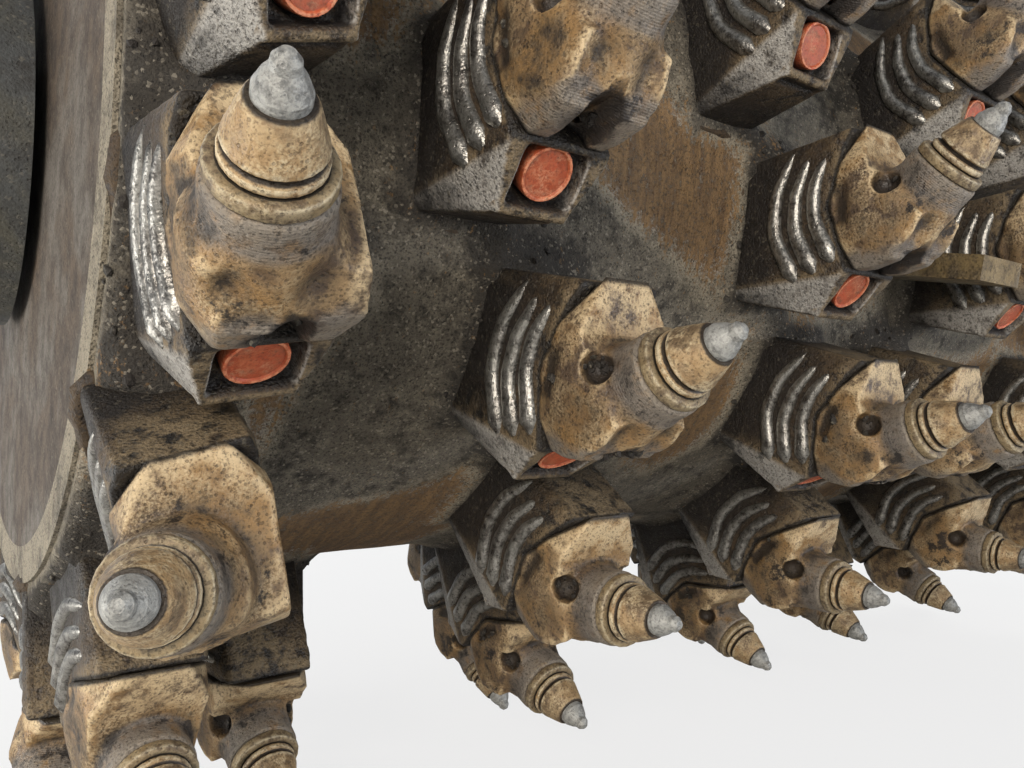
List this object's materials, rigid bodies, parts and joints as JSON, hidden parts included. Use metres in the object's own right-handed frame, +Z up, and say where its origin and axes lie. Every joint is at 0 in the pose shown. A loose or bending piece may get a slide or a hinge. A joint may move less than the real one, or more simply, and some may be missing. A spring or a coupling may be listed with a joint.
{
  "type": "milling drum of a cold planer",
  "caption": "Road milling drum: a steel tube with helical rows of pick holders, turning on a drive flange at one end and a bearing at the other.",
  "frame": {"origin": "centre of the drive flange's outer face, on the drum's axis", "axes": "+X along the drum's axis and out of the drive flange, +Y away from the side that the picture shows, +Z up"},
  "size_m": [1.506, 0.982, 0.982],
  "materials": {
    "tube_steel": "bare steel scoured by asphalt, with tar and grit stuck to it",
    "inner_steel": "plain welded steel plate",
    "base_holders": "forged steel under a brown-black crust of asphalt, ribs worn bright",
    "upper_holders": "forged steel rusted to ochre by dust and water",
    "pick_steel": "turned steel with an ochre film of dust",
    "wear_washers": "turned steel with an ochre film of dust",
    "carbide": "sintered carbide, pale blue-grey and matt",
    "plugs": "terracotta plastic",
    "throwers": "wear plate with a film of dust",
    "gear_case": "dark grey paint under dust",
    "fixed_iron": "dark grey paint under dust",
    "machined_steel": "machined steel, lightly oiled"
  },
  "bodies": {
    "standing": {"drive_flange": "fixed_iron", "drive_spindle": "machined_steel", "bearing_housing": "fixed_iron", "bearing_cap": "fixed_iron"},
    "drum": {"drum_tube": "tube_steel", "carrying_ring": "inner_steel", "end_plate": "inner_steel", "stub_shaft": "machined_steel", "gear_case": "gear_case", "gear_case_cover": "gear_case", "throwers": "throwers", "bases_flight_1": "base_holders", "bases_flight_2": "base_holders", "bases_flight_3": "base_holders", "bases_flight_4": "base_holders", "bases_bearing_edge": "base_holders", "bases_drive_edge": "base_holders", "holders_flight_1": "upper_holders", "holders_flight_2": "upper_holders", "holders_flight_3": "upper_holders", "holders_flight_4": "upper_holders", "holders_bearing_edge": "upper_holders", "holders_drive_edge": "upper_holders", "picks_flight_1": "pick_steel", "picks_flight_2": "pick_steel", "picks_flight_3": "pick_steel", "picks_flight_4": "pick_steel", "picks_bearing_edge": "pick_steel", "picks_drive_edge": "pick_steel", "washers_flights": "wear_washers", "washers_edges": "wear_washers", "tips_flight_1": "carbide", "tips_flight_2": "carbide", "tips_flight_3": "carbide", "tips_flight_4": "carbide", "tips_edges": "carbide", "plugs_flights": "plugs", "plugs_edges": "plugs"},
    "input": {"input_shaft": "machined_steel"}
  },
  "joints": [
    {"name": "drum_spin", "type": "hinge", "parent": "standing", "child": "drum", "pos_m": [0, 0, 0], "axis": [-1, 0, 0], "continuous": true},
    {"name": "input_spin", "type": "hinge", "parent": "standing", "child": "input", "pos_m": [0, 0, 0], "axis": [-1, 0, 0], "continuous": true}
  ],
  "couplings": [
    {"joint": "input_spin", "follows": "drum_spin", "ratio": 20}
  ]
}
